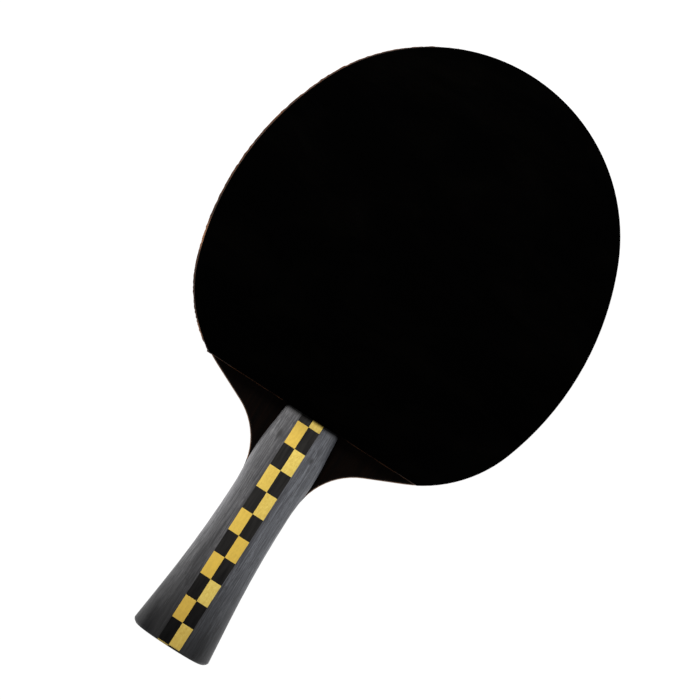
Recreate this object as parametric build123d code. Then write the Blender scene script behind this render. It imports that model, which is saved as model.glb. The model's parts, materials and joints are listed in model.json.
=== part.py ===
from build123d import *
import os
from math import cos, radians, sin

# A shakehand table tennis paddle lying flat, in millimetres. +Y runs along the handle
# to the tip of the head, +X to the right and +Z out of the front rubber. The origin is
# the middle of the paddle's length, on the handle's centre line and mid-way through
# the blade.

paddle_length = 258.0
butt_y = -paddle_length / 2
tip_y = paddle_length / 2

# Blade plies, from the outside to the middle
face_ply_thickness = 0.6
inner_ply_thickness = 0.7
core_ply_thickness = 3.2
blade_thickness = core_ply_thickness + 2 * (inner_ply_thickness + face_ply_thickness)
blade_face_z = blade_thickness / 2

# Right half of the head and neck, from the tip round to the handle. An arc is
# (radius, turn in degrees, clockwise negative) and a straight run is (0, length).
head_runs = [
    (72.6, -65.5),
    (115.3, -43.1),
    (52.3, -46.8),
    (0, 15.8),
    (26.75, 60.4),
    (0, 5.0),
]

# Right half of the handle, from the butt up to its front end
handle_length = 102.2
butt_half_width = 16.95
butt_flare = 6.13
handle_runs = [
    (0, 19.0),
    (434.5, -butt_flare),
    (62.0, -6.47),
    (77.8, 12.08),
]
waist_half_width = 12.46
waist_crest_height = 8.1
crest_flare = 1 / 3
handle_sections = 21
# How square the handle's section is: 0.55 would be an ellipse and 1 nearly a box
section_fullness = 0.66

# The butt's corners are rounded by an arc that stands a little proud of the butt's end
butt_corner_radius = 2.8
butt_corner_proud = 0.1

# Checkerboard inlay down the middle of each handle scale
inlay_half_width = 4.8
end_slip_length = 0.66
tile_length = 9.83
full_tile_rows = 10

# Rubbers: each is a topsheet glued on a sponge, cut straight across just above the handle
rubber_gap = 0.2
sponge_thickness = 2.0
topsheet_thickness = 1.8
topsheet_shift = -0.3
slant_cut = -0.9

reach = 400.0


def tangent_path(start, tangent, runs):
    """Edges that follow each other smoothly through a list of arcs and straight runs."""
    edges = []
    for radius, amount in runs:
        if radius:
            edge = JernArc(start, tangent, radius, amount)
        else:
            edge = PolarLine(start, amount, direction=tangent)
        edges.append(edge)
        start = edge @ 1
        tangent = edge % 1
    return edges


def half_region(edges):
    """The flat region between a right-hand path and the centre line, with its mirror image."""
    first = edges[0] @ 0
    last = edges[-1] @ 1
    closing = [Line(last, (0, last.Y))]
    if first.X > 0:
        closing.append(Line((0, first.Y), first))
    closing.append(Line((0, last.Y), (0, first.Y)))
    half = make_face(edges + closing)
    return half + mirror(half, about=Plane.YZ)


def head_outline():
    return half_region(tangent_path((0, tip_y), (1, 0), head_runs))


def handle_edge():
    """The handle's right-hand edge, with a last straight run up to the front end."""
    lean = radians(90 + butt_flare)
    edges = tangent_path((butt_half_width, butt_y), (cos(lean), sin(lean)), handle_runs)
    end = edges[-1] @ 1
    direction = edges[-1] % 1
    rise = butt_y + handle_length - end.Y
    edges.append(PolarLine(end, rise / direction.Y, direction=direction))
    return edges


def butt_waste():
    """What is cut off the two corners of the butt to round them, in plan."""
    size = 2 * butt_corner_radius
    centre_x = butt_half_width - butt_corner_radius
    centre_y = butt_y + butt_corner_radius - butt_corner_proud
    corner = Pos(centre_x + butt_corner_radius, centre_y - butt_corner_radius) * Rectangle(size, size)
    waste = corner - Pos(centre_x, centre_y) * Circle(butt_corner_radius)
    return waste + mirror(waste, about=Plane.YZ)


def blade_outline():
    return head_outline() + half_region(handle_edge()) - butt_waste()


def layer(outline, bottom, thickness, lean=0.0):
    """A flat sheet of the outline's shape, whose side walls lean by that much in X."""
    slope = Vector(lean, 0, thickness)
    return Pos(0, 0, bottom) * extrude(outline, amount=slope.length, dir=slope)


def blade_plies():
    """The five plies of the blade, from the back face to the front face."""
    outline = blade_outline()
    plies = {}
    bottom = -blade_face_z
    for name, thickness in (
        ("back_face_ply", face_ply_thickness),
        ("back_inner_ply", inner_ply_thickness),
        ("core_ply", core_ply_thickness),
        ("front_inner_ply", inner_ply_thickness),
        ("front_face_ply", face_ply_thickness),
    ):
        plies[name] = layer(outline, bottom, thickness)
        bottom += thickness
    return plies


def turned_over(shape):
    """The same piece on the back of the paddle, turned about the long axis."""
    return shape.rotate(Axis.Y, 180)


def rubbers():
    """A topsheet and a sponge for each side. The front sponge's edge is cut at a slant."""
    bottom_edge = butt_y + handle_length + rubber_gap
    keep = Pos(0, bottom_edge + reach / 2) * Rectangle(reach, reach)
    outline = head_outline() & keep
    top_outline = Pos(topsheet_shift, 0) * outline
    foot_outline = Pos(topsheet_shift + slant_cut, 0) * outline
    sheet_bottom = blade_face_z + sponge_thickness
    return {
        "front_sponge": layer(foot_outline, blade_face_z, sponge_thickness, -slant_cut),
        "front_topsheet": layer(top_outline, sheet_bottom, topsheet_thickness),
        "back_sponge": turned_over(layer(outline, blade_face_z, sponge_thickness)),
        "back_topsheet": turned_over(layer(outline, sheet_bottom, topsheet_thickness)),
    }


def scale_section(y, half_width):
    """The half-round section of a handle scale, standing on the blade's face."""
    height = waist_crest_height + (half_width - waist_half_width) * crest_flare
    full_width = section_fullness * half_width
    full_height = section_fullness * height
    crown = (0, height)
    right = Bezier((half_width, 0), (half_width, full_height), (full_width, height), crown)
    left = Bezier(crown, (-full_width, height), (-half_width, full_height), (-half_width, 0))
    base = Line((-half_width, 0), (half_width, 0))
    plane = Plane(origin=(0, y, blade_face_z), x_dir=(1, 0, 0), z_dir=(0, -1, 0))
    return plane * make_face([right, left, base])


def handle_scale():
    """One whole scale, before it is divided into its side pieces and its inlay."""
    edge = Wire(handle_edge())
    sections = []
    for i in range(handle_sections):
        point = edge @ (i / (handle_sections - 1))
        sections.append(scale_section(point.Y, point.X))
    return loft(sections) - extrude(butt_waste(), amount=reach)


def slab(x_low, x_high, y_low, y_high):
    """A tall block that cuts one piece out of a scale."""
    centre = Pos((x_low + x_high) / 2, (y_low + y_high) / 2, reach / 2)
    return centre * Box(x_high - x_low, y_high - y_low, reach)


def inlay_rows():
    """The inlay's cross joints, from the butt to the front end of the handle."""
    joints = [butt_y - reach]
    for i in range(full_tile_rows + 1):
        joints.append(butt_y + end_slip_length + i * tile_length)
    joints.append(butt_y + reach)
    return list(zip(joints[:-1], joints[1:]))


def scale_pieces(scale):
    """The grey side pieces and the checkerboard tiles of one scale, by name."""
    pieces = {
        "left_grip_side": scale & slab(-reach, -inlay_half_width, -reach, reach),
        "right_grip_side": scale & slab(inlay_half_width, reach, -reach, reach),
    }
    for row, (low, high) in enumerate(inlay_rows()):
        left = scale & slab(-inlay_half_width, 0, low, high)
        right = scale & slab(0, inlay_half_width, low, high)
        black, yellow = (left, right) if row % 2 else (right, left)
        pieces[f"black_tile_{row:02d}"] = black
        pieces[f"yellow_tile_{row:02d}"] = yellow
    return pieces


def handle_pieces():
    """Both scales. The thin slips at the butt share one node for each colour."""
    front = scale_pieces(handle_scale())
    pieces = {}
    for colour in ("black", "yellow"):
        slip = front.pop(f"{colour}_tile_00")
        pieces[f"{colour}_end_slips"] = Compound(children=[slip, turned_over(slip)])
    for name, piece in front.items():
        pieces[f"front_{name}"] = piece
        pieces[f"back_{name}"] = turned_over(piece)
    return pieces


nodes = {**blade_plies(), **rubbers(), **handle_pieces()}
os.makedirs("parts", exist_ok=True)
for name, shape in nodes.items():
    export_step(shape, f"parts/{name}.step")
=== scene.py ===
import json
import math
import bmesh
import bpy
import numpy as np
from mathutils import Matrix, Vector

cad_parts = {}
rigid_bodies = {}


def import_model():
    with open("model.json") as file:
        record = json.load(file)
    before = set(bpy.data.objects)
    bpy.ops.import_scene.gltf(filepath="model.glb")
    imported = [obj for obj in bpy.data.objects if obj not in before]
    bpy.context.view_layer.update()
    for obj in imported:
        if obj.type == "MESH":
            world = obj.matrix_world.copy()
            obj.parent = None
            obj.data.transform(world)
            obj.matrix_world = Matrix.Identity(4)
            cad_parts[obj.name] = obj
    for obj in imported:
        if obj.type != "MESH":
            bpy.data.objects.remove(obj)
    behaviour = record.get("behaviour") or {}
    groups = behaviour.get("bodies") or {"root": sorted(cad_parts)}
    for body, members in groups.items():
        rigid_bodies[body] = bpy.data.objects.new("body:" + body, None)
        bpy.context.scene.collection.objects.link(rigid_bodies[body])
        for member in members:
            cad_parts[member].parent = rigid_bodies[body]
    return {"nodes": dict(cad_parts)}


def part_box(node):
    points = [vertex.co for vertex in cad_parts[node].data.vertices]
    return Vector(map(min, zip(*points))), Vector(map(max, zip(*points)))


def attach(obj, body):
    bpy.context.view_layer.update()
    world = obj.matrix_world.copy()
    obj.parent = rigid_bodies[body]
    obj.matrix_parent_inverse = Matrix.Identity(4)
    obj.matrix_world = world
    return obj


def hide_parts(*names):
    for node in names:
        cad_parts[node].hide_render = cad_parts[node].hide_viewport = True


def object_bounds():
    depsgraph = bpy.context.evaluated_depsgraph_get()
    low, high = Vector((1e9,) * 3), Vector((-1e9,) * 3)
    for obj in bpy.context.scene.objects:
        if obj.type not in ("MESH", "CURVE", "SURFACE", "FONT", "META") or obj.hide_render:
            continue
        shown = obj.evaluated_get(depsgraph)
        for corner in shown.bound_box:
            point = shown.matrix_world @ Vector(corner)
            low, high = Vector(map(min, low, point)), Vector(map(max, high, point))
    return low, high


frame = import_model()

# The paddle lies flat, face up: +Y from the butt to the tip of the head, +X to the right.
mm = 0.001
tiny = 0.002 * mm
nodes = frame["nodes"]
cadLow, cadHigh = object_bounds()
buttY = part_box("core_ply")[0].y
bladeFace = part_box("front_face_ply")[1].z
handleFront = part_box("front_left_grip_side")[1].y
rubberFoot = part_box("front_topsheet")[0].y
print("frame loaded:", len(nodes), "CAD nodes")


# Everyday moves

def makeActive(piece):
    bpy.ops.object.select_all(action="DESELECT")
    piece.select_set(True)
    bpy.context.view_layer.objects.active = piece


def copyOf(source, name):
    piece = bpy.data.objects.new(name, source.data.copy())  # a mesh of its own
    bpy.context.collection.objects.link(piece)
    makeActive(piece)
    return piece


def mergedCopy(nodeName, name):
    piece = copyOf(nodes[nodeName], name)
    bpy.ops.mesh.customdata_custom_splitnormals_clear()
    bpy.ops.object.mode_set(mode="EDIT")
    bpy.ops.mesh.select_all(action="SELECT")
    bpy.ops.mesh.remove_doubles(threshold=tiny / 2)
    bpy.ops.mesh.dissolve_limited(angle_limit=math.radians(0.5))
    return piece  # left in edit mode


def select(kind, wanted):
    bpy.ops.mesh.select_mode(type={"verts": "VERT", "edges": "EDGE", "faces": "FACE"}[kind])
    bpy.ops.mesh.select_all(action="DESELECT")
    shape = bmesh.from_edit_mesh(bpy.context.object.data)
    for element in getattr(shape, kind):
        if wanted(element):
            element.select_set(True)
    shape.select_flush_mode()
    bmesh.update_edit_mesh(bpy.context.object.data)


def middle(edge):
    return (edge.verts[0].co + edge.verts[1].co) / 2


def isCorner(edge):
    return edge.calc_face_angle(0) > math.radians(40)


def cutAt(axis, place, keep=0):
    # keep is -1 for what lies below the plane, 1 for what lies above it, 0 for both
    point = Vector((0, 0, 0))
    point[axis] = place
    normal = Vector((0, 0, 0))
    normal[axis] = 1
    bpy.ops.mesh.select_all(action="SELECT")
    bpy.ops.mesh.bisect(plane_co=point, plane_no=normal, use_fill=keep != 0,
                        clear_inner=keep > 0, clear_outer=keep < 0, threshold=tiny / 2)


def applyModifier(kind, **settings):
    bpy.ops.object.modifier_add(type=kind)
    modifier = bpy.context.object.modifiers[-1]
    for key, value in settings.items():
        setattr(modifier, key, value)
    bpy.ops.object.modifier_apply(modifier=modifier.name)


def finishPiece(piece, nodeName, slotName, material, smoothAngle=35):
    makeActive(piece)
    piece.data.materials.clear()
    piece.data.materials.append(material)
    bpy.ops.object.shade_smooth_by_angle(angle=math.radians(smoothAngle))
    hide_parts(nodeName)
    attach(piece, "root")


# Materials: every pattern reads Object coordinates, in metres

def newMaterial(name, **finish):
    material = bpy.data.materials.new(name)
    material.use_nodes = True
    tree = material.node_tree
    shader = tree.nodes["Principled BSDF"]
    for socket, value in finish.items():
        shader.inputs[socket.replace("_", " ")].default_value = value
    return material, tree, shader


def addNode(tree, kind, inputs, **settings):
    node = tree.nodes.new("ShaderNode" + kind)
    for key, value in settings.items():
        setattr(node, key, value)
    for socket, value in inputs.items():
        if isinstance(value, bpy.types.NodeSocket):
            tree.links.new(value, node.inputs[socket])
        else:
            node.inputs[socket].default_value = value
    return node


def objectPlace(tree, stretch=(1, 1, 1), centre=(0, 0, 0)):
    place = addNode(tree, "TexCoord", {}).outputs["Object"]
    offset = [-c * s for c, s in zip(centre, stretch)]
    return addNode(tree, "Mapping", {"Vector": place, "Location": offset, "Scale": stretch}).outputs[0]


def noise(tree, stretch, detail=4.0, roughness=0.55, distortion=0.0):
    # stretch is how many features there are to a metre, along each axis
    return addNode(tree, "TexNoise", {
        "Vector": objectPlace(tree, stretch), "Scale": 1.0, "Detail": detail,
        "Roughness": roughness, "Distortion": distortion}).outputs[0]


def remap(tree, value, fromLow, fromHigh, low, high, smooth=False):
    return addNode(tree, "MapRange", {
        "Value": value, "From Min": fromLow, "From Max": fromHigh, "To Min": low, "To Max": high},
        interpolation_type="SMOOTHSTEP" if smooth else "LINEAR").outputs[0]


def compute(tree, operation, first, second):
    return addNode(tree, "Math", {0: first, 1: second}, operation=operation).outputs[0]


def mix(tree, factor, first, second, blend="MIX"):
    inputs = {0: factor, 6: first, 7: second}
    return addNode(tree, "Mix", inputs, data_type="RGBA", blend_type=blend).outputs[2]


def along(tree, axis):
    place = objectPlace(tree)
    return addNode(tree, "SeparateXYZ", {0: place}).outputs[axis]


def roughen(tree, shader, height, depth, strength=1.0):
    bump = addNode(tree, "Bump", {"Height": height, "Distance": depth, "Strength": strength})
    tree.links.new(bump.outputs[0], shader.inputs["Normal"])


def paint(tree, shader, colour, gloss):
    tree.links.new(colour, shader.inputs["Base Color"])
    tree.links.new(gloss, shader.inputs["Roughness"])


def fade(tree, axis, span, low=0.0, high=1.0, smooth=False):
    # runs from low to high between two places along an axis
    return remap(tree, along(tree, axis), span[0], span[1], low, high, smooth)


def fromButt(span):
    return buttY + span[0], buttY + span[1]


def fromFront(span):
    return handleFront + span[0], handleFront + span[1]


def spotAround(tree, centre, reach):
    # 1 in the middle, 0 from that reach outward
    around = objectPlace(tree, [1 / r for r in reach], centre)
    return addNode(tree, "TexGradient", {0: around}, gradient_type="SPHERICAL").outputs[1]


rubberLook = {
    "black rubber": {
        "colour": (0.0003, 0.0003, 0.0003, 1), "rubbed": (0.0009, 0.0008, 0.0007, 1), "sheen": 0.015},
    "red rubber": {
        "colour": (0.34, 0.007, 0.007, 1), "rubbed": (0.40, 0.018, 0.014, 1), "sheen": 0.3},
    "rubMarks": (26, 60, 40),  # this and the next two: how many to a metre
    "grain": (1900, 1900, 1900),
    "dustSpecks": (2600, 2600, 2600),
    "roughness": (0.115, 0.15),  # untouched, rubbed
    "grainDepth": 0.01 * mm,
    "grainStrength": 0.08,
}


def rubberMaterial(name):
    # tacky skin: faint rub marks, fine grain and a little dust
    look = rubberLook[name]
    material, tree, shader = newMaterial(name, Specular_IOR_Level=look["sheen"])
    rubs = remap(tree, noise(tree, rubberLook["rubMarks"], 5, 0.6, 0.6), 0.45, 0.75, 0.0, 1.0)
    grain = noise(tree, rubberLook["grain"], 2)
    dust = remap(tree, noise(tree, rubberLook["dustSpecks"], 1), 0.72, 0.78, 0.0, 0.35)
    worn = compute(tree, "MULTIPLY", rubs, remap(tree, grain, 0.3, 0.7, 0.3, 1.0))
    shade = mix(tree, worn, look["colour"], look["rubbed"])
    shade = mix(tree, compute(tree, "MULTIPLY", dust, rubs), shade, look["rubbed"], "ADD")
    paint(tree, shader, shade, remap(tree, rubs, 0.0, 1.0, *rubberLook["roughness"]))
    roughen(tree, shader, grain, rubberLook["grainDepth"], rubberLook["grainStrength"])
    return material


spongeLook = {
    # painted shade: these browns darken the sponge's orange, its edge being in shade from above
    "colour": (0.085, 0.028, 0.006, 1),
    "cut": (0.020, 0.007, 0.002, 1),
    "dark": (0.055, 0.016, 0.004, 1),
    "clean": (0.50, 0.24, 0.12, 1),
    "cleanSpots": [(-73.5, 10.0, 8.5), (-55.0, -21.0, 5.5)],  # x, y, reach: painted highlights, where light catches the edge
    "spotHeight": 1.0 * mm,  # above the blade's face
    "pores": (2600, 2600, 2600),  # to a metre, as are the next two
    "drag": (220, 220, 900),
    "patches": (90, 90, 90),
    "poreDepth": 0.15 * mm,
    "sheen": 0.15,
}


def spongeMaterial():
    # open foam, darker in its pores (painted shade) and where the knife dragged; its orange is darkened
    # to brown as painted shade, with painted highlight spots
    material, tree, shader = newMaterial("orange sponge", Specular_IOR_Level=spongeLook["sheen"])
    pores = addNode(tree, "TexVoronoi", {
        "Vector": objectPlace(tree, spongeLook["pores"]), "Scale": 1.0}).outputs["Distance"]
    drag = noise(tree, spongeLook["drag"], 4, 0.6)
    patches = noise(tree, spongeLook["patches"], 3)
    dragged = remap(tree, drag, 0.35, 0.65, 0.0, 1.0)
    shade = mix(tree, dragged, spongeLook["colour"], spongeLook["cut"])
    shade = mix(tree, remap(tree, patches, 0.4, 0.65, 0.0, 0.5), shade, spongeLook["cut"])
    # painted highlights: the edge is lighter where light catches it
    for x, y, reach in spongeLook["cleanSpots"]:
        centre = (x * mm, y * mm, bladeFace + spongeLook["spotHeight"])
        spot = spotAround(tree, centre, [reach * mm] * 3)
        highlightMask = compute(tree, "MULTIPLY", remap(tree, spot, 0.0, 0.8, 0.0, 1.0, True), drag)
        shade = mix(tree, highlightMask, shade, spongeLook["clean"])
    # painted shade in the pores
    shade = mix(tree, remap(tree, pores, 0.15, 0.5, 0.75, 0.0), shade, spongeLook["dark"], "MULTIPLY")
    paint(tree, shader, shade, remap(tree, pores, 0.0, 0.6, 0.95, 0.75))
    roughen(tree, shader, pores, spongeLook["poreDepth"], 0.8)
    return material


veneerLook = {
    "dark face veneer": {
        "light": (0.0038, 0.0019, 0.0012, 1), "dark": (0.0008, 0.0005, 0.0004, 1),
        "sheen": 0.03, "grainDepth": 0.02 * mm},
    "inner veneer": {
        "light": (0.20, 0.095, 0.040, 1), "dark": (0.09, 0.038, 0.016, 1),
        "sheen": 0.25, "grainDepth": 0.03 * mm},
    "core wood": {
        "light": (0.55, 0.38, 0.22, 1), "dark": (0.34, 0.20, 0.10, 1),
        "sheen": 0.2, "grainDepth": 0.05 * mm},
    "fibres": (1500, 34, 1500),  # to a metre, as are the next two
    "bands": (260, 6, 260),
    "pores": (4200, 260, 4200),
}


def veneerMaterial(name):
    # straight-grained ply: long fibres, short dark pores
    look = veneerLook[name]
    material, tree, shader = newMaterial(name, Specular_IOR_Level=look["sheen"])
    fibres = noise(tree, veneerLook["fibres"], 5, 0.6)
    bands = noise(tree, veneerLook["bands"], 3, 0.5, 0.4)
    pores = remap(tree, noise(tree, veneerLook["pores"], 2), 0.62, 0.7, 0.0, 1.0)
    shade = mix(tree, remap(tree, fibres, 0.35, 0.68, 0.0, 1.0), look["light"], look["dark"])
    shade = mix(tree, remap(tree, bands, 0.4, 0.65, 0.0, 0.6), shade, look["dark"])
    shade = mix(tree, compute(tree, "MULTIPLY", pores, 0.7), shade, look["dark"], "MULTIPLY")
    paint(tree, shader, shade, remap(tree, fibres, 0.3, 0.7, 0.42, 0.62))
    roughen(tree, shader, compute(tree, "SUBTRACT", fibres, pores), look["grainDepth"], 0.6)
    return material


# painted shade along the handle's front end, where it meets the rubber
frontEndShade = {
    "tint": (0.03, 0.03, 0.03, 1),
    "onDark": (-2.2 * mm, -0.45 * mm),  # where it starts and is full, from the handle's front end
    "onYellow": (-1.3 * mm, -0.1 * mm),
    "dull": (-1.6 * mm, -0.4 * mm),
    "sheenLeft": 0.05,
}


def darkenFront(tree, shade, span):
    # painted shade where the handle ends at the rubber
    grime = fade(tree, "Y", fromFront(span))
    return mix(tree, grime, shade, frontEndShade["tint"], "MULTIPLY")


def dullFront(tree, shader, sheen):
    # the shine is taken off there as well
    clean = fade(tree, "Y", fromFront(frontEndShade["dull"]), 1.0, frontEndShade["sheenLeft"])
    tree.links.new(compute(tree, "MULTIPLY", clean, sheen), shader.inputs["Specular IOR Level"])


greyWood = {
    "light": (0.195, 0.195, 0.203, 1),
    "dark": (0.058, 0.058, 0.064, 1),
    "line": (0.040, 0.040, 0.044, 1),
    "grime": (0.030, 0.029, 0.030, 1),
    "fibres": (1700, 30, 1700),  # to a metre, as are the next five
    "bands": (420, 9, 420),
    "fine": (5200, 150, 5200),
    "pores": (3600, 330, 3600),
    "lines": (2500, 38, 2500),
    "speckle": (2600, 800, 2600),
    "knots": [(-8.0, 91.2, 1.6), (7.9, 88.5, 1.2)],  # x, y from the butt, radius
    "knotHeight": 7.0 * mm,  # above the blade's face
    "knotStretch": (1.0, 1 / 0.55, 1 / 0.08),  # longer along the grain, and deep
    # the right half is a cooler sheet, and is also darkened there as painted shade; painted shade lies
    # beside the inlay on the left
    "cooler": (0.92, 0.97, 1.05, 1),
    "coolerAcross": (0.0, 6.0 * mm),
    "streak": (0.62, 0.62, 0.63, 1),
    "streakAcross": (-11.2 * mm, -8.0 * mm),
    # darker towards the butt, most of all at its sides, and a painted highlight on the left flank
    "handled": (0.09, 0.09, 0.095, 1),
    "handledAlong": (-6.0 * mm, 62.0 * mm),  # from the butt
    "worn": (2.3, 2.3, 2.3, 1),
    "wornPlace": (-13.5 * mm, 58.0 * mm),  # x, y from the butt
    "wornReach": (4.5 * mm, 34.0 * mm, 20.0 * mm),
    "buttSides": (0.42, 0.42, 0.43, 1),
    "buttSidesStart": (7.0 * mm, 10.5 * mm),  # from the centre line
    "buttSidesEnd": (12.0 * mm, 14.2 * mm),
    "buttSidesAlong": (4.0 * mm, 20.0 * mm),
    "buttSidesOnRight": 0.6,  # against 1 on the left
    "sheen": 0.5,
    "heldSheen": 0.22,
    # both ends
    # painted shade towards the handle's front end
    "frontTint": (0.81, 0.81, 0.81, 1),
    "frontTintAlong": (-6.0 * mm, -2.0 * mm),
    # painted shade: a thin dark line along the rounded butt end
    "endGrime": (0.004, 0.004, 0.005, 1),
    "endGrimeAlong": (0.2 * mm, 0.9 * mm),
    "grainDepth": 0.03 * mm,
}


def greyGrain(tree):
    # the bare wood: its colour, its fibres and its pores
    fibres = noise(tree, greyWood["fibres"], 6, 0.62, 0.15)
    bands = noise(tree, greyWood["bands"], 4, 0.55, 0.5)
    fine = noise(tree, greyWood["fine"], 3, 0.6)
    pores = remap(tree, noise(tree, greyWood["pores"], 2), 0.60, 0.66, 0.0, 1.0)
    lines = remap(tree, noise(tree, greyWood["lines"], 2, 0.4, 0.3), 0.53, 0.60, 0.0, 0.75)
    speckle = remap(tree, noise(tree, greyWood["speckle"], 2), 0.35, 0.65, 0.0, 0.35)
    shade = mix(tree, remap(tree, fibres, 0.41, 0.60, 0.0, 1.0), greyWood["light"], greyWood["dark"])
    shade = mix(tree, remap(tree, bands, 0.42, 0.60, 0.0, 0.7), shade, greyWood["dark"])
    shade = mix(tree, remap(tree, fine, 0.42, 0.60, 0.0, 0.4), shade, greyWood["light"])
    shade = mix(tree, lines, shade, greyWood["line"])
    shade = mix(tree, speckle, shade, greyWood["dark"])
    shade = mix(tree, compute(tree, "MULTIPLY", pores, 0.8), shade, greyWood["grime"])
    for x, y, radius in greyWood["knots"]:
        centre = (x * mm, buttY + y * mm, bladeFace + greyWood["knotHeight"])
        knot = spotAround(tree, centre, [radius * mm * stretch for stretch in greyWood["knotStretch"]])
        shade = mix(tree, remap(tree, knot, 0.1, 0.7, 0.0, 0.9), shade, greyWood["grime"])
    return shade, fibres, pores


def darkerButtSides(tree):
    # where the butt's sides are darker, most of all on the left
    across = compute(tree, "ABSOLUTE", along(tree, "X"), 0)
    outward = remap(tree, across, *greyWood["buttSidesStart"], 0.0, 1.0, True)
    outward = compute(tree, "MULTIPLY", outward, remap(tree, across, *greyWood["buttSidesEnd"], 1.0, 0.1))
    nearButt = fade(tree, "Y", fromButt(greyWood["buttSidesAlong"]), 1.0, 0.0, True)
    leftMore = fade(tree, "X", (-1 * mm, 1 * mm), 1.0, greyWood["buttSidesOnRight"])
    return compute(tree, "MULTIPLY", compute(tree, "MULTIPLY", outward, nearButt), leftMore)


def greyWoodMaterial():
    material, tree, shader = newMaterial("grey grip wood", Specular_IOR_Level=greyWood["sheen"])
    shade, fibres, pores = greyGrain(tree)
    # cooler tone of the right sheet, darkened there too as painted shade
    coolAndShaded = fade(tree, "X", greyWood["coolerAcross"])
    shade = mix(tree, coolAndShaded, shade, greyWood["cooler"], "MULTIPLY")
    # painted shade beside the inlay on the left
    streak = compute(tree, "SUBTRACT", fade(tree, "X", greyWood["streakAcross"], smooth=True), coolAndShaded)
    shade = mix(tree, streak, shade, greyWood["streak"], "MULTIPLY")
    # darker towards the butt
    handled = fade(tree, "Y", fromButt(greyWood["handledAlong"]), 1.0, 0.0, True)
    shade = mix(tree, handled, shade, greyWood["handled"], "MULTIPLY")
    # painted highlight on the left flank near the waist
    x, y = greyWood["wornPlace"]
    worn = spotAround(tree, (x, buttY + y, bladeFace), greyWood["wornReach"])
    shade = mix(tree, remap(tree, worn, 0.0, 1.0, 0.0, 1.0, True), shade, greyWood["worn"], "MULTIPLY")
    buttSideMask = darkerButtSides(tree)
    shade = mix(tree, buttSideMask, shade, greyWood["buttSides"], "MULTIPLY")
    # painted shade towards the handle's front end
    nearFront = fade(tree, "Y", fromFront(greyWood["frontTintAlong"]))
    shade = mix(tree, nearFront, shade, greyWood["frontTint"], "MULTIPLY")
    shade = darkenFront(tree, shade, frontEndShade["onDark"])
    # painted shade: a thin dark line along the rounded butt end
    endGrime = fade(tree, "Y", fromButt(greyWood["endGrimeAlong"]), 0.8, 0.0)
    shade = mix(tree, endGrime, shade, greyWood["endGrime"])
    paint(tree, shader, shade, remap(tree, fibres, 0.3, 0.7, 0.40, 0.56))
    dullFront(tree, shader, remap(tree, buttSideMask, 0.0, 1.0, greyWood["sheen"], greyWood["heldSheen"]))
    roughen(tree, shader, compute(tree, "SUBTRACT", fibres, pores), greyWood["grainDepth"], 0.7)
    return material


blackInlayLook = {
    # these greys are lighter than the black wood: painted sheen
    "dark": (0.010, 0.0095, 0.0095, 1),
    "light": (0.019, 0.018, 0.017, 1),
    "oiled": (0.0006, 0.0006, 0.0007, 1),  # painted: the sheen fades out and the wood turns black towards the butt
    "oiledAlong": (0.0, 62.0 * mm),  # from the butt
    "fibres": (1500, 90, 1500),  # to a metre
    "grainDepth": 0.02 * mm,
    "sheen": 0.25,
}


def blackInlayMaterial():
    look = blackInlayLook
    material, tree, shader = newMaterial("black inlay wood", Specular_IOR_Level=look["sheen"])
    fibres = noise(tree, look["fibres"], 4)
    shade = mix(tree, remap(tree, fibres, 0.35, 0.7, 0.0, 1.0), look["dark"], look["light"])
    # painted sheen fading out towards the butt
    oiled = fade(tree, "Y", fromButt(look["oiledAlong"]), 1.0, 0.0, True)
    shade = mix(tree, oiled, shade, look["oiled"])
    shade = darkenFront(tree, shade, frontEndShade["onDark"])
    paint(tree, shader, shade, remap(tree, fibres, 0.3, 0.7, 0.36, 0.48))
    dullFront(tree, shader, look["sheen"])
    roughen(tree, shader, fibres, look["grainDepth"], 0.6)
    return material


yellowInlayLook = {
    "lemon": (0.80, 0.65, 0.170, 1),
    "orange": (0.65, 0.40, 0.036, 1),
    # how orange each row's tile is, from the slips at the butt to the short row at the neck
    "warmth": [0.35, 0.1, 0.65, 0.0, 0.75, 0.72, 0.65, 0.25, 0.45, 0.15, 0.65, 0.2],
    "mottle": (0.57, 0.385, 0.058, 1),
    "fibres": (1300, 160, 1300),  # to a metre, as are the next two
    "clouds": (900, 620, 900),
    "flecks": (3300, 700, 3300),
    # painted shade: the yellow darkens towards the butt as the light falls off
    "oiled": (0.70, 0.66, 0.60, 1),
    "oiledAlong": (0.0, 45.0 * mm),  # from the butt
    # painted shade: the dark line along the rounded butt end
    "endTint": (0.60, 0.64, 0.80, 1),
    "endTintAlong": (0.5 * mm, 1.2 * mm),
    "neckShade": (0.70, 0.70, 0.74, 1),
    "neckShadeAlong": (-12.0 * mm, 0.0),  # from the handle's front end
    "grainDepth": 0.02 * mm,
    "sheen": 0.4,
}


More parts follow.
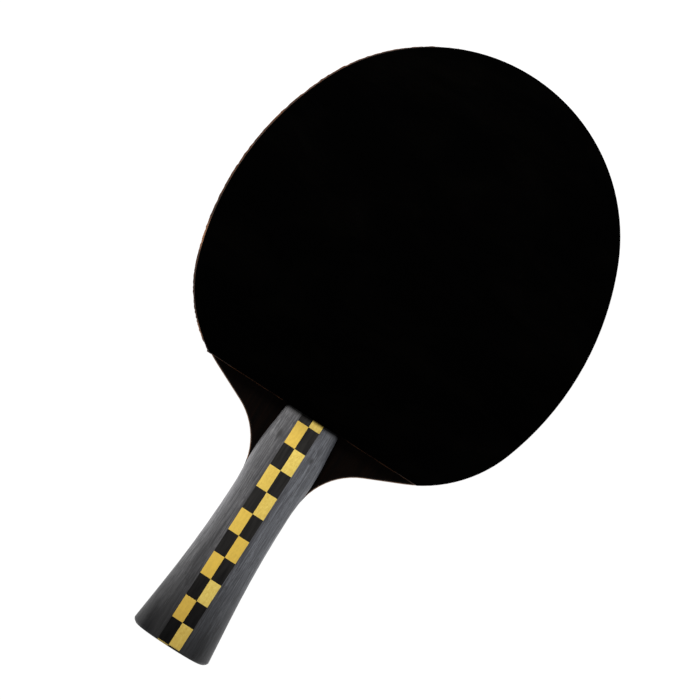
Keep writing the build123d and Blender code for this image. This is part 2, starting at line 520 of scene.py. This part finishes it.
def yellowInlayMaterial():
    look = yellowInlayLook
    material, tree, shader = newMaterial("yellow inlay wood", Specular_IOR_Level=look["sheen"])
    warmth = addNode(tree, "Attribute", {}, attribute_name="warmth").outputs["Fac"]
    fibres = noise(tree, look["fibres"], 5, 0.6)
    clouds = noise(tree, look["clouds"], 4, 0.65)
    flecks = remap(tree, noise(tree, look["flecks"], 2), 0.60, 0.70, 0.0, 0.7)
    shade = mix(tree, warmth, look["lemon"], look["orange"])
    shade = mix(tree, remap(tree, fibres, 0.36, 0.7, 0.0, 0.45), shade, look["mottle"])
    shade = mix(tree, remap(tree, clouds, 0.42, 0.66, 0.0, 0.55), shade, look["mottle"])
    shade = mix(tree, flecks, shade, look["mottle"])
    # painted shade: the yellow darkens towards the butt as the light falls off
    oiled = fade(tree, "Y", fromButt(look["oiledAlong"]), 1.0, 0.0, True)
    shade = mix(tree, oiled, shade, look["oiled"], "MULTIPLY")
    neckShade = fade(tree, "Y", fromFront(look["neckShadeAlong"]), smooth=True)
    shade = mix(tree, neckShade, shade, look["neckShade"], "MULTIPLY")
    # painted shade: the dark line along the rounded butt end
    endTint = fade(tree, "Y", fromButt(look["endTintAlong"]), 1.0, 0.0)
    shade = mix(tree, endTint, shade, look["endTint"], "MULTIPLY")
    shade = darkenFront(tree, shade, frontEndShade["onYellow"])
    paint(tree, shader, shade, remap(tree, clouds, 0.3, 0.7, 0.38, 0.55))
    dullFront(tree, shader, look["sheen"])
    roughen(tree, shader, compute(tree, "ADD", fibres, clouds), look["grainDepth"], 0.5)
    return material


blackRubber = rubberMaterial("black rubber")
redRubber = rubberMaterial("red rubber")
orangeSponge = spongeMaterial()
darkVeneer = veneerMaterial("dark face veneer")
innerVeneer = veneerMaterial("inner veneer")
coreWood = veneerMaterial("core wood")
greyGrip = greyWoodMaterial()
blackInlay = blackInlayMaterial()
yellowInlay = yellowInlayMaterial()
print("materials made")


# Blade: one block, rounded by hand at the neck, then parted into its five plies

blade = {
    "neckRounding": 1.6 * mm,
    "roundingSteps": 5,
    "roundingEnds": 76.0 * mm,  # from the butt, where the neck runs into the handle
    "plies": {
        "back_face_ply": ("dark_face_veneer", darkVeneer),
        "back_inner_ply": ("inner_veneer", innerVeneer),
        "core_ply": ("core_wood", coreWood),
        "front_inner_ply": ("inner_veneer", innerVeneer),
        "front_face_ply": ("dark_face_veneer", darkVeneer),
    },
}


def camelName(nodeName):
    first, *rest = nodeName.split("_")
    return first + "".join(word.capitalize() for word in rest)


def makeBlade():
    block = mergedCopy("core_ply", "bladeBlock")
    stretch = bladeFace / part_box("core_ply")[1].z
    bpy.ops.mesh.select_all(action="SELECT")
    bpy.ops.transform.resize(value=(1, 1, stretch), center_override=(0, 0, 0))
    neckFoot = buttY + blade["roundingEnds"]
    cutAt(1, neckFoot)
    cutAt(1, rubberFoot)

    def onNeckRim(edge):
        place = middle(edge)
        onFace = all(abs(abs(vertex.co.z) - bladeFace) < tiny for vertex in edge.verts)
        return onFace and isCorner(edge) and neckFoot < place.y < rubberFoot

    select("edges", onNeckRim)
    bpy.ops.mesh.bevel(offset=blade["neckRounding"], segments=blade["roundingSteps"], affect="EDGES")
    bpy.ops.object.mode_set(mode="OBJECT")
    for nodeName, (slotName, material) in blade["plies"].items():
        low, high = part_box(nodeName)
        ply = copyOf(block, camelName(nodeName))
        bpy.ops.object.mode_set(mode="EDIT")
        if low.z > -bladeFace + tiny:
            cutAt(2, low.z, keep=1)
        if high.z < bladeFace - tiny:
            cutAt(2, high.z, keep=-1)
        bpy.ops.object.mode_set(mode="OBJECT")
        finishPiece(ply, nodeName, slotName, material)
    bpy.data.objects.remove(block)
    print("blade made:", len(blade["plies"]), "plies")


makeBlade()


# Rubbers: a pimpled topsheet on a hand-cut sponge, front and back

topsheet = {
    "skin": 0.9 * mm,
    "rimRounding": 0.25 * mm,
    "pimpleRadius": 0.85 * mm,
    "pimpleFlare": 1.2,  # wider where it joins the skin
    "pimpleSpacing": 2.3 * mm,
    "pimpleBand": 6.0 * mm,  # they are only made where the edge lets one see in
    "pimpleSetback": 0.15 * mm,
    "pimpleSides": 8,
    "pimpleOverlap": 0.05 * mm,  # into the skin
    "smoothAngle": 18,  # the skin is shaded flat up to its rim
}
sponge = {
    "cutsAlongLongEdge": 15,
    "cuts": 3,
    "wallWobble": 0.10 * mm,
    "footWobble": 0.22 * mm,
    "longEdge": 8.0 * mm,
    "wallSeed": 3,
    "footSeed": 8,
    "lowerSlant": 0.28 * mm,  # the foot stands out below the topsheet, beside the handle
    "slantFrom": 14.2 * mm,  # from the centre line, just clear of the handle
    "smoothAngle": 60,
}


def rimReach(nodeName):
    # how far the outline is from the head's middle, by direction
    points = np.array([vertex.co for vertex in nodes[nodeName].data.vertices])
    low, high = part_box(nodeName)
    centre = ((low + high) / 2).xy
    x, y = points[:, 0] - centre.x, points[:, 1] - centre.y
    angle = np.arctan2(y, x)
    order = np.argsort(angle)
    reach = np.hypot(x, y)[order]
    return centre, angle[order], reach


def makePimples(nodeName, foot, skin):
    low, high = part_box(nodeName)
    centre, angles, reaches = rimReach(nodeName)
    step = topsheet["pimpleSpacing"]
    rowStep = step * math.sin(math.radians(60))  # rows nest in a grid of triangles
    side = 1 if skin > foot else -1
    bpy.ops.mesh.primitive_cylinder_add(
        vertices=topsheet["pimpleSides"], radius=topsheet["pimpleRadius"], depth=abs(skin - foot),
        location=(low.x, low.y, (foot + skin) / 2))
    bpy.ops.object.transform_apply(location=True)
    pimples = bpy.context.object
    bpy.ops.object.mode_set(mode="EDIT")
    select("faces", lambda face: face.normal.z * side > 0.9)
    bpy.ops.transform.resize(value=(topsheet["pimpleFlare"], topsheet["pimpleFlare"], 1),
                             center_override=(low.x, low.y, skin))
    bpy.ops.transform.translate(value=(0, 0, topsheet["pimpleOverlap"] * side))
    bpy.ops.object.mode_set(mode="OBJECT")
    perRow = math.ceil((high.x - low.x) / step) + 1
    rowPairs = math.ceil((high.y - low.y) / rowStep / 2) + 1
    applyModifier("ARRAY", count=perRow, use_relative_offset=False, use_constant_offset=True,
                  constant_offset_displace=(step, 0, 0))
    bpy.ops.object.mode_set(mode="EDIT")
    bpy.ops.mesh.select_all(action="SELECT")
    bpy.ops.mesh.duplicate_move(TRANSFORM_OT_translate={"value": (step / 2, rowStep, 0)})
    bpy.ops.object.mode_set(mode="OBJECT")
    applyModifier("ARRAY", count=rowPairs, use_relative_offset=False, use_constant_offset=True,
                  constant_offset_displace=(0, rowStep * 2, 0))

    def outsideBand(vertex):
        x, y = vertex.co.x - centre.x, vertex.co.y - centre.y
        reach = np.interp(math.atan2(y, x), angles, reaches, period=2 * math.pi)
        inset = min(reach - math.hypot(x, y), vertex.co.y - low.y)  # the lower edge is cut straight
        return inset < topsheet["pimpleSetback"] or inset > topsheet["pimpleBand"]

    bpy.ops.object.mode_set(mode="EDIT")
    select("verts", outsideBand)
    bpy.ops.mesh.select_linked()
    bpy.ops.mesh.delete(type="VERT")
    bpy.ops.object.mode_set(mode="OBJECT")
    return pimples


def makeTopsheet(nodeName, slotName, material):
    low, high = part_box(nodeName)
    inner, outer = sorted((low.z, high.z), key=abs)
    skin = outer - math.copysign(topsheet["skin"], outer)
    sheet = mergedCopy(nodeName, camelName(nodeName))
    select("verts", lambda vertex: abs(vertex.co.z - inner) < tiny)
    bpy.ops.transform.translate(value=(0, 0, skin - inner))
    select("edges", lambda edge: all(abs(vertex.co.z - outer) < tiny for vertex in edge.verts))
    bpy.ops.mesh.bevel(offset=topsheet["rimRounding"], segments=2, affect="EDGES")
    bpy.ops.object.mode_set(mode="OBJECT")
    pimples = makePimples(nodeName, inner, skin)
    makeActive(sheet)
    pimples.select_set(True)
    bpy.ops.object.join()
    finishPiece(sheet, nodeName, slotName, material, topsheet["smoothAngle"])


def makeSponge(nodeName):
    low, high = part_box(nodeName)
    foot = min(low.z, high.z, key=abs)
    pad = mergedCopy(nodeName, camelName(nodeName))
    select("edges", lambda edge: edge.calc_length() > sponge["longEdge"])
    bpy.ops.mesh.subdivide(number_cuts=sponge["cutsAlongLongEdge"])
    select("faces", lambda face: abs(face.normal.z) < 0.7)
    bpy.ops.mesh.subdivide(number_cuts=sponge["cuts"])
    select("verts", lambda vertex: vertex.co.y < low.y + tiny
           and abs(vertex.co.x) > sponge["slantFrom"] and abs(vertex.co.z - foot) < tiny)
    bpy.ops.transform.translate(value=(0, -sponge["lowerSlant"], 0))
    select("verts", lambda vertex: low.z + tiny < vertex.co.z < high.z - tiny)
    bpy.ops.transform.vertex_random(offset=sponge["wallWobble"], seed=sponge["wallSeed"])
    select("verts", lambda vertex: abs(vertex.co.z - foot) < tiny)
    bpy.ops.transform.vertex_random(offset=sponge["footWobble"], seed=sponge["footSeed"])
    bpy.ops.transform.resize(value=(1, 1, 0), center_override=(0, 0, foot))
    bpy.ops.object.mode_set(mode="OBJECT")
    finishPiece(pad, nodeName, "orange_sponge", orangeSponge, sponge["smoothAngle"])


makeSponge("front_sponge")
makeSponge("back_sponge")
makeTopsheet("front_topsheet", "black_topsheet", blackRubber)
makeTopsheet("back_topsheet", "red_topsheet", redRubber)
print("rubbers made")


# Handle: one scale drawn out along the tang, then parted into grip sides and inlay tiles

handle = {
    "sectionFullness": 0.66,
    "sectionSteps": 16,
    "buttRim": 0.25 * mm,
    "frontRim": 0.2 * mm,
    "rimSteps": 4,
    "buttStations": [0.8, 1.2, 1.7, 2.3, 3.0, 5.0],  # mm from the butt, where its corners are rounded
    "stations": 24,
    "firstStation": 8.0 * mm,  # from the butt
    "lastStation": 3.0 * mm,  # from the front end
    "jointEase": 0.05 * mm,
}


def cadPoints(*nodeNames):
    # the corners of every face but the underside's
    points = []
    for mesh in [nodes[name].data for name in nodeNames]:
        for face in mesh.polygons:
            if face.normal.z > -0.5:
                points += [mesh.vertices[i].co for i in face.vertices]
    return np.array(points)


def profile(points, column):
    order = np.argsort(points[:, 1])
    return points[order, 1], points[order, column]


def scaleProfiles():
    side = cadPoints("front_right_grip_side")
    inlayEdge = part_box("front_right_grip_side")[0].x
    foot = side[(side[:, 2] < bladeFace + tiny) & (side[:, 0] > inlayEdge + tiny)]
    tiles = cadPoints(*[name for name in nodes if name.startswith("front_") and "_tile_" in name])
    crest = tiles[(np.abs(tiles[:, 0]) < tiny) & (tiles[:, 2] > bladeFace + 1 * mm)]
    return profile(foot, 0), profile(crest, 2)


def rimInset(y):
    # the rounded rim of both ends
    for distance, rim in ((y - buttY, handle["buttRim"]), (handleFront - y, handle["frontRim"])):
        if distance < rim:
            return rim - math.sqrt(max(rim ** 2 - (rim - distance) ** 2, 0))
    return 0


def stationPlaces():
    turns = [1 - math.cos(math.pi / 2 * i / handle["rimSteps"]) for i in range(handle["rimSteps"] + 1)]
    places = [buttY + handle["buttRim"] * turn for turn in turns]
    places += [buttY + distance * mm for distance in handle["buttStations"]]
    places += [handleFront - handle["frontRim"] * turn for turn in turns]
    first, last = buttY + handle["firstStation"], handleFront - handle["lastStation"]
    places += list(np.linspace(first, last, handle["stations"]))
    return sorted(places)


def drawSection(width, height):
    # the half-round section, standing on the blade's face at the butt
    bpy.ops.curve.primitive_bezier_curve_add(location=(0, 0, 0))
    section = bpy.context.object
    section.data.resolution_u = handle["sectionSteps"]
    points = section.data.splines[0].bezier_points
    points.add(1)
    fullWidth, fullHeight = width * handle["sectionFullness"], height * handle["sectionFullness"]
    corners = [
        ((width, -fullHeight), (width, 0), (width, fullHeight)),
        ((fullWidth, height), (0, height), (-fullWidth, height)),
        ((-width, fullHeight), (-width, 0), (-width, -fullHeight)),
    ]
    for point, corner in zip(points, corners):
        point.handle_left_type = point.handle_right_type = "FREE"
        point.handle_left, point.co, point.handle_right = [(x, buttY, bladeFace + z) for x, z in corner]
    bpy.ops.object.convert(target="MESH")
    return section


def makeScale():
    (footY, footX), (crestY, crestZ) = scaleProfiles()

    def sizeAt(y):
        inset = rimInset(y)
        return np.interp(y, footY, footX) - inset, np.interp(y, crestY, crestZ) - bladeFace - inset

    places = stationPlaces()
    width, height = sizeAt(places[0])
    scale = drawSection(width, height)
    bpy.ops.object.mode_set(mode="EDIT")
    bpy.ops.mesh.select_all(action="SELECT")
    bpy.ops.mesh.edge_face_add()
    for last, y in zip(places[:-1], places[1:]):
        bpy.ops.mesh.extrude_region_move(TRANSFORM_OT_translate={"value": (0, y - last, 0)})
        newWidth, newHeight = sizeAt(y)
        bpy.ops.transform.resize(value=(newWidth / width, 1, newHeight / height),
                                 center_override=(0, y, bladeFace))
        width, height = newWidth, newHeight
    bpy.ops.mesh.select_all(action="SELECT")
    bpy.ops.mesh.remove_doubles(threshold=tiny / 2)
    bpy.ops.mesh.normals_make_consistent(inside=False)
    bpy.ops.object.mode_set(mode="OBJECT")
    return scale


def partScale(scale, name, xLow, xHigh, yLow, yHigh):
    piece = copyOf(scale, name)
    bpy.ops.object.mode_set(mode="EDIT")
    ends = ((0, xLow, 1), (0, xHigh, -1), (1, yLow, 1), (1, yHigh, -1))
    for axis, place, keep in ends:
        if place is not None:
            cutAt(axis, place, keep)
    bpy.ops.object.mode_set(mode="OBJECT")
    applyModifier("BEVEL", width=handle["jointEase"], segments=1, angle_limit=math.radians(50))
    return piece


def turnedOver(piece, name):
    back = copyOf(piece, name)
    bpy.ops.object.mode_set(mode="EDIT")
    bpy.ops.mesh.select_all(action="SELECT")
    bpy.ops.transform.rotate(value=math.pi, orient_axis="Y", center_override=(0, 0, 0))
    bpy.ops.object.mode_set(mode="OBJECT")
    return back


def setWarmth(piece, warmth):
    attribute = piece.data.attributes.new("warmth", "FLOAT", "POINT")
    attribute.data.foreach_set("value", [warmth] * len(piece.data.vertices))


def makeGripSides(scale):
    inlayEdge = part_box("front_right_grip_side")[0].x
    for hand, xLow, xHigh in (("left", None, -inlayEdge), ("right", inlayEdge, None)):
        front = partScale(scale, f"front{hand.capitalize()}GripSide", xLow, xHigh, None, None)
        back = turnedOver(front, f"back{hand.capitalize()}GripSide")
        finishPiece(front, f"front_{hand}_grip_side", "grey_grip_wood", greyGrip)
        finishPiece(back, f"back_{hand}_grip_side", "grey_grip_wood", greyGrip)


def makeTiles(scale):
    finishes = {"black": ("black_inlay_wood", blackInlay), "yellow": ("yellow_inlay_wood", yellowInlay)}
    for nodeName in [name for name in nodes if name.startswith("front_") and "_tile_" in name]:
        colour, row = nodeName.split("_")[1], int(nodeName[-2:])
        low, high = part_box(nodeName)
        yHigh = high.y if high.y < handleFront - tiny else None
        front = partScale(scale, camelName(nodeName), low.x, high.x, low.y, yHigh)
        if colour == "yellow":
            setWarmth(front, yellowInlayLook["warmth"][row])
        back = turnedOver(front, camelName(nodeName).replace("front", "back"))
        finishPiece(front, nodeName, *finishes[colour])
        finishPiece(back, nodeName.replace("front", "back"), *finishes[colour])
    for colour, side in (("black", 1), ("yellow", -1)):
        nodeName = f"{colour}_end_slips"
        low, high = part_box(nodeName)
        xLow, xHigh = sorted((0, side * high.x))
        front = partScale(scale, camelName(nodeName), xLow, xHigh, None, high.y)
        if colour == "yellow":
            setWarmth(front, yellowInlayLook["warmth"][0])
        back = turnedOver(front, "backSlip")
        makeActive(front)
        back.select_set(True)
        bpy.ops.object.join()
        finishPiece(front, nodeName, *finishes[colour])


scale = makeScale()
makeGripSides(scale)
makeTiles(scale)
bpy.data.objects.remove(scale)
print("handle made")


# Floor, light and camera

studio = {
    "floorSize": 8.0,
    "floorGlow": 1.0,
    "floorColours": [(0.05, 0.05, 0.05, 1), (0.07, 0.07, 0.07, 1)],
    "floorClouds": (3, 3, 3),  # to a metre
    "keyPlace": (-0.145, 0.32, 0.24),
    "keySize": 0.22,
    "keyPower": 2.8,
    "keyColour": (1.0, 0.965, 0.92),
    "horizon": 1.0,
    "zenith": 0.02,
    "skyFade": (0.45, 0.95),  # heights between which the one turns into the other
}
view = {
    "roll": 32.8,  # degrees, the head leans to the upper right
    "lens": 150.0,
    "height": 1.115,  # above the front rubber
    "place": (-0.0027, 0.00325),
}


def makeFloor():
    # touches the back rubber at the tip and the handle's crest, so it leans a little
    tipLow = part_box("back_topsheet")[0].z
    slope = 0
    for tile in [name for name in nodes if name.startswith("back_") and "_tile_" in name]:
        low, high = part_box(tile)
        slope = max(slope, (tipLow - low.z) / (cadHigh.y - high.y))
    middleZ = tipLow - slope * cadHigh.y - 0.1 * mm
    bpy.ops.mesh.primitive_plane_add(size=studio["floorSize"], location=(0, 0, middleZ),
                                     rotation=(math.atan(slope), 0, 0))
    floor = bpy.context.object
    floor.name = "floor"
    material, tree, shader = newMaterial("pale floor", Roughness=0.9, Specular_IOR_Level=0.0,
                                         Emission_Strength=studio["floorGlow"])
    tint = mix(tree, noise(tree, studio["floorClouds"], 2), *studio["floorColours"])
    tree.links.new(tint, shader.inputs["Base Color"])
    shader.inputs["Emission Color"].default_value = (1, 1, 1, 1)
    floor.data.materials.append(material)


def makeKeyLamp():
    place = Vector(studio["keyPlace"])
    aim = (-place).to_track_quat("-Z", "Y").to_euler()
    bpy.ops.object.light_add(type="AREA", location=place, rotation=aim)
    lamp = bpy.context.object
    lamp.name = "key"
    lamp.data.size = studio["keySize"]
    lamp.data.energy = studio["keyPower"]
    lamp.data.color = studio["keyColour"]


def makeWorld():
    world = bpy.data.worlds.new("soft studio")
    bpy.context.scene.world = world
    world.use_nodes = True
    tree = world.node_tree
    direction = addNode(tree, "TexCoord", {}).outputs["Generated"]
    height = addNode(tree, "SeparateXYZ", {0: direction}).outputs["Z"]
    glow = remap(tree, height, *studio["skyFade"], studio["horizon"], studio["zenith"], True)
    background = tree.nodes["Background"]
    background.inputs["Color"].default_value = (1, 1, 1, 1)
    tree.links.new(glow, background.inputs["Strength"])


def makeCamera():
    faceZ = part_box("front_topsheet")[1].z
    x, y = view["place"]
    bpy.ops.object.camera_add(location=(x, y, faceZ + view["height"]),
                              rotation=(0, 0, math.radians(view["roll"])))
    camera = bpy.context.object
    camera.data.lens = view["lens"]
    bpy.context.scene.camera = camera


bpy.context.scene.view_settings.view_transform = "Standard"
makeFloor()
makeKeyLamp()
makeWorld()
makeCamera()
print("studio made")
